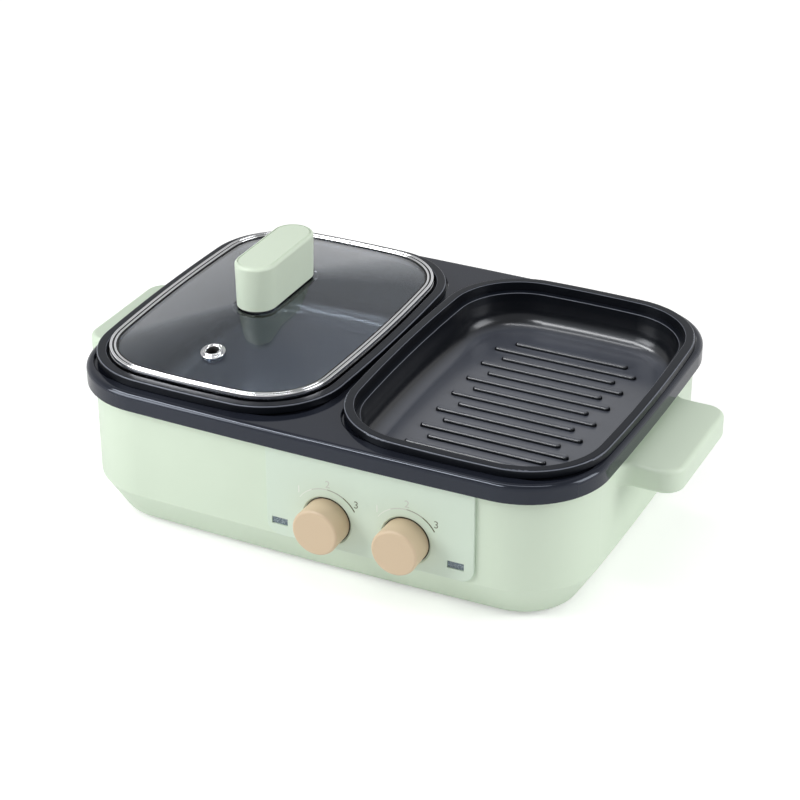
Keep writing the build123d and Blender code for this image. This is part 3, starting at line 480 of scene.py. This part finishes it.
def dress(material, *names):
    """Gives CAD nodes their material."""
    for name in names:
        mesh = NODES[name].data
        mesh.materials.clear()
        mesh.materials.append(material)


def both(name):
    """The names of a left and a right node."""
    return tuple(f"{side}_{name}" for side in SIDES)


# -------------------------------------------------------------------- pieces
def mesh_piece(name, vertices, faces, material, body):
    """A new piece that rides on a CAD body."""
    mesh = bpy.data.meshes.new(name)
    mesh.from_pydata(vertices, [], faces)
    mesh.validate()
    mesh.materials.append(material)
    piece = bpy.data.objects.new(name, mesh)
    bpy.context.scene.collection.objects.link(piece)
    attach(piece, body)
    return piece


def smooth(mesh, sharp=math.radians(50)):
    """Faces turned outward and shaded smooth, but for edges sharper than an angle."""
    shape = bmesh.new()
    shape.from_mesh(mesh)
    bmesh.ops.recalc_face_normals(shape, faces=shape.faces)
    shape.to_mesh(mesh)
    shape.free()
    mesh.shade_smooth()
    mesh.set_sharp_from_angle(angle=sharp)


def surface_of(node):
    """A tree for finding points on a CAD node's surface."""
    mesh = NODES[node].data
    corners = [v.co for v in mesh.vertices]
    return BVHTree.FromPolygons(corners, [p.vertices for p in mesh.polygons])


def on_front(tree, x, z, lift):
    """The point at (x, z) on a surface as seen from the front, lifted off it."""
    before = CAD_BOX[0].y - 0.1
    hit = tree.ray_cast(Vector((x, before, z)), Vector((0, 1, 0)))[0]
    if hit is None:
        raise RuntimeError(f"nothing in front at {x:.4f}, {z:.4f}")
    return Vector((x, hit.y - lift, z))


def knob_axis(side):
    """Where a knob's axis passes, as x and z."""
    low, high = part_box(f"{side}_knob")
    return (low.x + high.x) / 2, (low.z + high.z) / 2


def around(middle, radius, angle):
    """A point of a flat circle, at an angle in radians."""
    return middle[0] + radius * math.cos(angle), middle[1] + radius * math.sin(angle)


def printed_solid(name, flat, faces, tree, material):
    """A thin print that follows the panel: flat points and faces, given depth."""
    outer = [on_front(tree, x, z, PRINT_THICKNESS) for x, z in flat]
    inner = [on_front(tree, x, z, 0.0) for x, z in flat]
    count = len(flat)
    solid = [list(face) for face in faces]
    solid += [[i + count for i in reversed(face)] for face in faces]
    edges = {}
    for face in faces:
        for a, b in zip(face, face[1:] + face[:1]):
            edges[(a, b)] = True
    solid += [[b, a, a + count, b + count] for a, b in edges if (b, a) not in edges]
    return mesh_piece(name, outer + inner, solid, material, "base")


def numeral_outline(text, height):
    """Vertices and faces of a printed numeral, centred, in its own plane."""
    curve = bpy.data.curves.new("numeral", "FONT")
    curve.body = text
    curve.size = height / NUMERAL_SHARE
    curve.resolution_u = 6
    holder = bpy.data.objects.new("numeral", curve)
    bpy.context.scene.collection.objects.link(holder)
    bpy.context.view_layer.update()
    mesh = bpy.data.meshes.new_from_object(holder)
    bpy.data.objects.remove(holder)
    shape = bmesh.new()
    shape.from_mesh(mesh)
    bmesh.ops.remove_doubles(shape, verts=shape.verts, dist=height * 0.001)
    shape.verts.index_update()
    points = [v.co.copy() for v in shape.verts]
    faces = [[v.index for v in face.verts] for face in shape.faces]
    shape.free()
    bpy.data.meshes.remove(mesh)
    centre_x = (min(p.x for p in points) + max(p.x for p in points)) / 2
    centre_y = (min(p.y for p in points) + max(p.y for p in points)) / 2
    return [(p.x - centre_x, p.y - centre_y) for p in points], faces


def partway(low, high, share):
    """A colour part of the way from one to another."""
    return tuple(a + (b - a) * share for a, b in zip(low, high))


def mirrored(vector, x, y):
    """A flat vector turned over along x or y, where they are -1."""
    return Vector((vector.x * x, vector.y * y))


def bow_radius(half_chord, bow):
    """Radius of an arc that bows out so far over its chord."""
    return (half_chord**2 + bow**2) / (2 * bow)


def bowed_outline(half_x, half_y, bow_x, bow_y, corner):
    """Points round a rectangle of shallow arcs, each with its outward direction."""
    front = bow_radius(half_x - bow_x, bow_y)
    side = bow_radius(half_y - bow_y, bow_x)
    front_middle = Vector((0.0, half_y - front))
    side_middle = Vector((half_x - side, 0.0))

    # The corner's middle lies where it touches both arcs from inside.
    to_front = front - corner
    to_side = side - corner
    apart = side_middle - front_middle
    along = (to_front**2 - to_side**2 + apart.length_squared) / (2 * apart.length)
    across = math.sqrt(to_front**2 - along**2)
    way = apart.normalized()
    beside = Vector((-way.y, way.x))
    middle = front_middle + along * way + across * beside
    if middle.x < 0 or middle.y < 0:
        middle = front_middle + along * way - across * beside

    turn_side = math.atan2(*(middle - side_middle).yx)
    turn_front = math.atan2(*(middle - front_middle).yx)
    side_cuts, corner_cuts, front_cuts = 18, 28, 14
    stretches = (
        (side_middle, side, 0.0, turn_side, side_cuts),
        (middle, corner, turn_side, turn_front, corner_cuts),
        (front_middle, front, turn_front, math.pi / 2, front_cuts),
    )
    quarter = []
    for centre, radius, start, end, cuts in stretches:
        for i in range(cuts):
            angle = start + (end - start) * i / cuts
            out = Vector((math.cos(angle), math.sin(angle)))
            quarter.append((centre + radius * out, out))
    loop = [*quarter, (Vector((0.0, half_y)), Vector((0.0, 1.0)))]
    loop += [(mirrored(p, -1, 1), mirrored(n, -1, 1)) for p, n in reversed(quarter)]
    lower = [(mirrored(p, 1, -1), mirrored(n, 1, -1)) for p, n in reversed(loop[1:-1])]
    return loop + lower


def measured(level, *points):
    """Section points written in millimetres, with heights over a level in metres."""
    return [(across * MM, level + height * MM) for across, height in points]


def rolled(middle, radius, start, end, cuts=8):
    """Section points on a rolled edge, between two directions in degrees."""
    turns = [math.radians(start + (end - start) * i / cuts) for i in range(cuts + 1)]
    return [around(middle, radius, turn) for turn in turns]


def ring(name, vertices, rows, material, body):
    """A closed ring of equal sections; vertices go section by section."""
    sections = len(vertices) // rows
    faces = []
    for i in range(sections):
        here = i * rows
        next_one = (i + 1) % sections * rows
        for j in range(rows):
            beyond = (j + 1) % rows
            faces.append((here + j, here + beyond, next_one + beyond, next_one + j))
    piece = mesh_piece(name, vertices, faces, material, body)
    smooth(piece.data)
    return piece


def swept(name, outline, place, section, material, body):
    """A closed section of (inset, height) points carried round an outline."""
    vertices = []
    for point, out in outline:
        for inset, height in section:
            flat = point - out * inset
            vertices.append((place.x + flat.x, place.y + flat.y, height))
    return ring(name, vertices, len(section), material, body)


def turned(name, section, base, up, material, body, cuts=72):
    """A closed section of (radius, height) points turned about an axis."""
    across = up.orthogonal().normalized()
    beside = up.cross(across)
    vertices = []
    for i in range(cuts):
        angle = 2 * math.pi * i / cuts
        out = across * math.cos(angle) + beside * math.sin(angle)
        vertices += [tuple(base + out * radius + up * height) for radius, height in section]
    return ring(name, vertices, len(section), material, body)


# ----------------------------------------------------------------- operators
class COOKER_OT_stage(bpy.types.Operator):
    """Camera, lamps, room light and floor"""

    bl_idname = "cooker.stage"
    bl_label = "Stage"

    def execute(self, context):
        settings = context.scene.cooker_stage
        context.scene.view_settings.view_transform = "Standard"
        self.camera(context.scene, settings)
        for name, (size, place, matte) in SOFT_BOXES.items():
            power = getattr(settings, name)
            self.soft_box(context.scene, f"{name}_lamp", power, size, place, matte)
        self.room(context.scene, settings)
        self.floor(context.scene)
        return {"FINISHED"}

    def camera(self, scene, settings):
        """The camera, and the scene looks through it."""
        camera = bpy.data.cameras.new("camera")
        camera.lens = settings.lens
        camera.sensor_width = SENSOR_WIDTH
        holder = bpy.data.objects.new("camera", camera)
        holder.location = settings.place
        holder.rotation_euler = (math.pi / 2 - settings.elevation, 0, settings.azimuth)
        scene.collection.objects.link(holder)
        scene.camera = holder

    def soft_box(self, scene, name, power, size, place, matte):
        """A rectangular lamp; one that isn't for matte surfaces shows only in glossy ones."""
        lamp = bpy.data.lights.new(name, "AREA")
        lamp.energy = power
        lamp.shape = "RECTANGLE"
        lamp.size, lamp.size_y = size
        holder = bpy.data.objects.new(name, lamp)
        holder.location = place
        holder.visible_diffuse = matte
        way = LAMPS_AIM - Vector(place)
        holder.rotation_euler = way.to_track_quat("-Z", "Y").to_euler()
        scene.collection.objects.link(holder)

    def room(self, scene, settings):
        """White to the camera and through glass, plain light to matte surfaces.

        A mirror finish finds a wall and a darker ceiling.
        """
        world = bpy.data.worlds.new("room")
        world.use_nodes = True
        wiring = Wiring(world.node_tree)
        rays = wiring.node("LightPath").outputs
        rise = wiring.upward(wiring.node("TexCoord").outputs["Generated"])
        surroundings = wiring.ramp(rise, [
            (0.0, WHITE), (0.4, (settings.wall,) * 3), (0.8, (settings.ceiling,) * 3)])
        lit = wiring.between(rays["Is Glossy Ray"], settings.room, surroundings)
        seen = wiring.combined("MAXIMUM", rays["Is Camera Ray"], rays["Is Transmission Ray"])
        background = wiring.tree.nodes["Background"]
        wiring.feed(wiring.between(seen, lit, 1.0), background.inputs["Strength"])
        wiring.feed((*WHITE, 1.0), background.inputs["Color"])
        scene.world = world

    def floor(self, scene):
        """A pale floor that turns white to the camera as it goes away."""
        half = 6.0
        corners = [(-half, -half, 0), (half, -half, 0), (half, half, 0), (-half, half, 0)]
        mesh = bpy.data.meshes.new("floor")
        mesh.from_pydata(corners, [], [(0, 1, 2, 3)])
        finish = Finish("studio_floor")
        tone = finish.ramp(finish.noise(scale=3.0, detail=2.0), [
            (NOISE_LOW, linear(243, 243, 243)), (NOISE_HIGH, linear(246, 246, 246))])
        finish.set(Specular_IOR_Level=0.2, Emission_Color=(*WHITE, 1.0))
        reach = finish.node("VectorMath", {0: finish.space}, operation="LENGTH").outputs["Value"]
        white = finish.spread(reach, 0.33, 0.6, from_low=0.45, from_high=2.2)
        seen = finish.node("LightPath").outputs["Is Camera Ray"]
        glow = finish.combined("MULTIPLY", seen, white)
        finish.feed(glow, finish.shader.inputs["Emission Strength"])
        mesh.materials.append(
            finish.paint(tone, finish.spread(finish.noise(scale=80.0), 0.7, 0.8)))
        floor = bpy.data.objects.new("floor", mesh)
        scene.collection.objects.link(floor)


class COOKER_OT_housing(bpy.types.Operator):
    """Moulded tub, side handles, bottom cover, feet and their screws"""

    bl_idname = "cooker.housing"
    bl_label = "Housing"

    def execute(self, context):
        shell = moulded("shell_plastic", context.scene.cooker_finish.shell)
        dress(shell, "base_tub", *both("side_handle"))
        cover = moulded("cover_plastic", linear(108, 110, 112), rough=0.5, uneven=0.06,
                        grain=0.03 * MM)
        dress(cover, "bottom_cover")
        dress(rubber("foot_rubber", linear(34, 34, 35)), "rubber_feet")
        screws = metal("plated_screws", (0.62, 0.63, 0.66), rough=0.24, grain=0.01 * MM)
        dress(screws, "bottom_screws", "bezel_screws", "side_handle_screws", "bracket_screws",
              "inlet_screws", "switch_nuts", *both("switch_shaft"), *both("plate_posts"))
        return {"FINISHED"}


class COOKER_OT_bezel(bpy.types.Operator):
    """Glossy dark bezel around the two wells"""

    bl_idname = "cooker.bezel"
    bl_label = "Bezel"

    def execute(self, context):
        dress(gloss("bezel_gloss", context.scene.cooker_finish.bezel), "top_bezel")
        return {"FINISHED"}


class COOKER_OT_panel_plate(bpy.types.Operator):
    """Control panel plate with the printed heat scales"""

    bl_idname = "cooker.panel_plate"
    bl_label = "Panel plate"

    def execute(self, context):
        colours = context.scene.cooker_finish
        dial = context.scene.cooker_dial
        plate = moulded("panel_finish", colours.panel, rough=0.34, uneven=0.04,
                        grain=0.006 * MM, drift=0.015)
        dress(plate, "control_panel")
        tree = surface_of("control_panel")
        for side in SIDES:
            self.arc(side, dial, colours, tree)
            self.numerals(side, dial, colours, tree)
        return {"FINISHED"}

    def arc(self, side, dial, colours, tree, cuts=14):
        """The scale's arc, in pieces that grow thicker and darker to the high end."""
        axis = knob_axis(side)
        faces = [[2 * i + 1, 2 * i + 3, 2 * i + 2, 2 * i] for i in range(cuts)]
        for part in range(ARC_PARTS):
            flat = []
            for i in range(cuts + 1):
                share = (part + i / cuts) / ARC_PARTS
                angle = dial.start + (dial.end - dial.start) * share
                half = (dial.thin + (dial.thick - dial.thin) * share) / 2
                flat.append(around(axis, dial.radius - half, angle))
                flat.append(around(axis, dial.radius + half, angle))
            tone = partway(colours.print_pale, colours.print_dark, part / (ARC_PARTS - 1))
            ink = printed(f"scale_ink_{side}_{part}", tone)
            printed_solid(f"{side}_scale_arc_{part}", flat, faces, tree, ink)

    def numerals(self, side, dial, colours, tree):
        """Plain numbers outside the arc, paler at the low end."""
        axis = knob_axis(side)
        reach = dial.radius + dial.thick + 0.62 * dial.numeral
        for step in range(dial.steps):
            share = FIRST_NUMERAL + (LAST_NUMERAL - FIRST_NUMERAL) * step / (dial.steps - 1)
            tone = partway(colours.print_pale, colours.print_dark, share**1.5)
            ink = printed(f"numeral_ink_{side}_{step}", tone)
            angle = dial.start + (dial.end - dial.start) * share
            middle = around(axis, reach, angle)
            outline, faces = numeral_outline(str(step + 1), dial.numeral)
            flat = [(middle[0] + x, middle[1] + z) for x, z in outline]
            printed_solid(f"{side}_numeral_{step + 1}", flat, faces, tree, ink)


class COOKER_OT_knobs(bpy.types.Operator):
    """Two turning heat knobs and the dark rings behind them, painted shadow in the gap round each
    knob
    """

    bl_idname = "cooker.knobs"
    bl_label = "Knobs"

    def execute(self, context):
        knob = moulded("knob_finish", context.scene.cooker_finish.knob, rough=0.48,
                       uneven=0.05, grain=0.02 * MM, drift=0.02)
        dress(knob, *both("knob"))
        tree = surface_of("control_panel")
        # Painted shadow: a dark ring in the gap round each knob, where only shade falls.
        painted_shadow = rubber("knob_felt", linear(50, 44, 29))
        for side in SIDES:
            self.paint_shadow_ring(side, context.scene.cooker_dial.painted_shadow, tree, painted_shadow)
        return {"FINISHED"}

    def paint_shadow_ring(self, side, overhang, tree, painted_shadow):
        """A dark ring, painted shadow in the gap round the knob: lies in the panel's recess and
        stands out a little around the knob.
        """
        low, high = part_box(f"{side}_knob")
        x, z = knob_axis(side)
        knob_radius = (high.x - low.x) / 2
        clearance = 0.01 * MM
        floor = on_front(tree, x + knob_radius, z, clearance).y
        inner = knob_radius - 3.0 * MM
        outer = knob_radius + overhang
        thick = 0.3 * MM
        section = [(inner, 0.0), (outer - 0.1 * MM, 0.0), (outer, 0.08 * MM),
                   (outer, 0.22 * MM), (outer - 0.15 * MM, thick), (inner, thick)]
        turned(f"{side}_knob_felt", section, Vector((x, floor, z)), Vector((0, -1, 0)), painted_shadow,
               "base")


class COOKER_OT_controls(bpy.types.Operator):
    """Switches, bracket and indicators behind the panel"""

    bl_idname = "cooker.controls"
    bl_label = "Controls"

    def execute(self, context):
        dress(smoky_lens("indicator_lens"), *both("indicator_lens"))
        dress(clear_glass("amber_glass", linear(246, 196, 160)), *both("indicator_lamp"))
        switch = moulded("switch_plastic", linear(40, 40, 42), rough=0.5)
        dress(switch, *both("switch_body"), "terminal_block")
        sheet = metal("zinc_sheet", (0.55, 0.57, 0.60), rough=0.38, grain=0.02 * MM,
                      along=(1, 1, 6))
        dress(sheet, "control_bracket", *both("heat_shield"))
        brass = metal("brass", (0.80, 0.60, 0.28), rough=0.25, grain=0.01 * MM)
        dress(brass, "terminal_screws", "inlet_pins")
        return {"FINISHED"}


class COOKER_OT_heaters(bpy.types.Operator):
    """Heating plates with their tubes and cutouts"""

    bl_idname = "cooker.heaters"
    bl_label = "Heaters"

    def execute(self, context):
        plate = metal("cast_aluminium", (0.66, 0.67, 0.68), rough=0.42, grain=0.06 * MM)
        dress(plate, *both("heating_plate"))
        tube = metal("tinted_steel", (0.36, 0.32, 0.27), rough=0.34, grain=0.02 * MM)
        dress(tube, *both("heating_tube"))
        cutout = metal("spun_aluminium", (0.72, 0.73, 0.74), rough=0.3, grain=0.02 * MM)
        dress(cutout, *both("thermal_cutout"))
        return {"FINISHED"}


class COOKER_OT_inlet(bpy.types.Operator):
    """Mains inlet in the rear wall"""

    bl_idname = "cooker.inlet"
    bl_label = "Inlet"

    def execute(self, context):
        dress(moulded("inlet_plastic", linear(26, 26, 28), rough=0.42), "power_inlet")
        return {"FINISHED"}


class COOKER_OT_vessels(bpy.types.Operator):
    """Hot pot and grill pan with their non-stick coating"""

    bl_idname = "cooker.vessels"
    bl_label = "Pot and pan"

    def execute(self, context):
        colours = context.scene.cooker_finish
        rim_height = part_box("grill_pan")[1].z - RIM_DEPTH
        coating = non_stick("vessel_coating", colours.coating, colours.coating_painted_sheen,
                            colours.coating_rim, colours.coating_painted_highlight, rim_height)
        dress(coating, "hot_pot", "grill_pan")
        return {"FINISHED"}


class COOKER_OT_lid(bpy.types.Operator):
    """Glass lid with its steel rim, vent and grip"""

    bl_idname = "cooker.lid"
    bl_label = "Lid"

    def execute(self, context):
        colours = context.scene.cooker_finish
        dress(clear_glass("tempered_glass", colours.glass), "lid_glass")
        steel = metal("polished_steel", (0.90, 0.91, 0.93), rough=0.1, grain=0.004 * MM,
                      along=(1, 1, 5), drift=0.03)
        dress(steel, "lid_rim", "lid_vent_grommet", "lid_handle_screws", "lid_handle_washers")
        grip = moulded("grip_plastic", colours.grip, rough=0.38, uneven=0.04, drift=0.015)
        dress(grip, "lid_handle", "lid_handle_cap")
        seal = rubber("gasket_silicone", linear(16, 16, 18))
        dress(seal, "lid_handle_gasket")
        self.rim(context.scene.cooker_lid, steel, seal)
        self.vent(context.scene.cooker_lid, steel, seal)
        return {"FINISHED"}

    def vent(self, sizes, steel, seal):
        """The steam vent: a turned eyelet, rolled outside and grooved inside."""
        base, up, tall = self.vent_axis()
        bore = sizes.bore
        nut = sizes.vent - 1.0 * MM
        nut_top = 1.1 * MM
        tube = 5.0 * MM
        flange = tall - 2.4 * MM
        edge = 0.55 * MM
        lip = 0.8 * MM
        section = [(bore, 0.0), (nut - 0.2 * MM, 0.0), (nut, 0.3 * MM), (nut, nut_top),
                   (tube, nut_top), (tube, flange), (sizes.vent - 0.5 * MM, flange)]
        section += rolled((sizes.vent - edge, flange + edge), edge, -90, 90)
        section += measured(flange, (6.75, 1.0), (6.6, 0.75), (6.35, 0.8), (6.2, 1.3))
        section += rolled((5.3 * MM, tall - lip), lip, 0, 130)
        section += [(bore + 0.15 * MM, tall - 0.6 * MM), (bore, tall - 1.2 * MM)]
        eyelet = turned("lid_vent_eyelet", section, base, up, steel, "lid")
        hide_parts("lid_vent_grommet")

        # A dark cup inside the eyelet: its wall, a bevelled top, and a floor with a hole.
        wall = bore - 0.05 * MM
        top = tall - 1.3 * MM
        hole = 1.6 * MM
        cup = [(wall, 0.6 * MM), (wall, top), (wall - 0.3 * MM, top + 0.3 * MM),
               (wall - 0.65 * MM, top), (wall - 0.75 * MM, 1.8 * MM),
               (hole, 1.5 * MM), (hole, 0.6 * MM)]
        turned("lid_vent_sleeve", cup, base, up, seal, "lid")

    def vent_axis(self):
        """The foot of the vent's axis, the direction that it points, and its height."""
        mesh = NODES["lid_vent_grommet"].data
        up = Vector((0, 0, 0))
        for face in mesh.polygons:
            if face.normal.z > 0.9:
                up += face.normal * face.area
        up.normalize()
        heights = [v.co.dot(up) for v in mesh.vertices]
        foot = min(heights)
        area = sum(face.area for face in mesh.polygons)
        middle = sum((face.center * face.area for face in mesh.polygons), Vector()) / area
        return middle + up * (foot - middle.dot(up)), up, max(heights) - foot

    def rim(self, sizes, steel, seal):
        """The rolled steel rim in place of its plain node, and the seal along the glass."""
        low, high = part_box("lid_rim")
        place = (low + high) / 2
        half = (high - low) / 2
        outline = bowed_outline(half.x, half.y, RIM_SIDE_BOW, RIM_FRONT_BOW, RIM_CORNER)
        foot = low.z
        top = high.z
        glass_top = top - 1.3 * MM
        glass_foot = glass_top - 3.4 * MM

        # Up the outside with its groove, over both beads, and down round the glass's edge.
        section = measured(foot, (0.5, 0.0), (0.0, 0.6))
        section += measured(top, (0.0, -3.4), (0.45, -3.2), (0.45, -2.7), (0.0, -2.5))
        outer = sizes.outer_bead
        section += rolled((outer, top - outer), outer, 180, 0, 12)
        section += measured(glass_top, (1.95, 0.05), (2.7, 0.05))
        section += rolled((3.6 * MM, top - 1.1 * MM), sizes.inner_bead, 180, 0, 12)
        section += measured(glass_top, (4.5, 0.02), (1.8, 0.02))
        section += measured(glass_foot, (1.8, 0.0), (4.5, 0.0), (4.5, -1.2), (1.8, -1.4))
        section += measured(foot, (1.8, 0.0))
        rim = swept("lid_rolled_rim", outline, place, section, steel, "lid")
        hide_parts("lid_rim")

        # Painted shade: a dark bead in the groove between the beads, where only shadow falls.
        groove_shadow = rolled((2.3 * MM, glass_top + 0.3 * MM), sizes.groove_shadow, 180, -150, 11)
        swept("lid_rim_joint", outline, place, groove_shadow, seal, "lid")
        bead = rolled((5.05 * MM, glass_top + 0.1 * MM), sizes.seal, 180, -150, 11)
        swept("lid_glass_seal", outline, place, bead, seal, "lid")


class COOKER_PT_panel(bpy.types.Panel):
    """Lists the operators and their settings"""

    bl_idname = "COOKER_PT_panel"
    bl_label = "Table cooker"
    bl_space_type = "VIEW_3D"
    bl_region_type = "UI"
    bl_category = "Cooker"

    def draw(self, context):
        for operator in OPERATORS:
            self.layout.operator(operator.bl_idname)
        for name in SETTINGS:
            group = getattr(context.scene, name)
            box = self.layout.box()
            for key in group.__annotations__:
                box.prop(group, key)


SETTINGS = {
    "cooker_finish": FinishSettings,
    "cooker_dial": DialSettings,
    "cooker_lid": LidSettings,
    "cooker_stage": StageSettings,
}
OPERATORS = (
    COOKER_OT_stage, COOKER_OT_housing, COOKER_OT_bezel, COOKER_OT_panel_plate,
    COOKER_OT_knobs, COOKER_OT_controls, COOKER_OT_heaters, COOKER_OT_inlet,
    COOKER_OT_vessels, COOKER_OT_lid,
)


def register():
    for item in (*SETTINGS.values(), *OPERATORS, COOKER_PT_panel):
        bpy.utils.register_class(item)
    for name, group in SETTINGS.items():
        setattr(bpy.types.Scene, name, PointerProperty(type=group))


def unregister():
    for name in SETTINGS:
        delattr(bpy.types.Scene, name)
    for item in (COOKER_PT_panel, *reversed(OPERATORS), *SETTINGS.values()):
        bpy.utils.unregister_class(item)


def main():
    register()
    for operator in OPERATORS:
        module, name = operator.bl_idname.split(".")
        getattr(getattr(bpy.ops, module), name)()


if __name__ == "__main__":
    main()
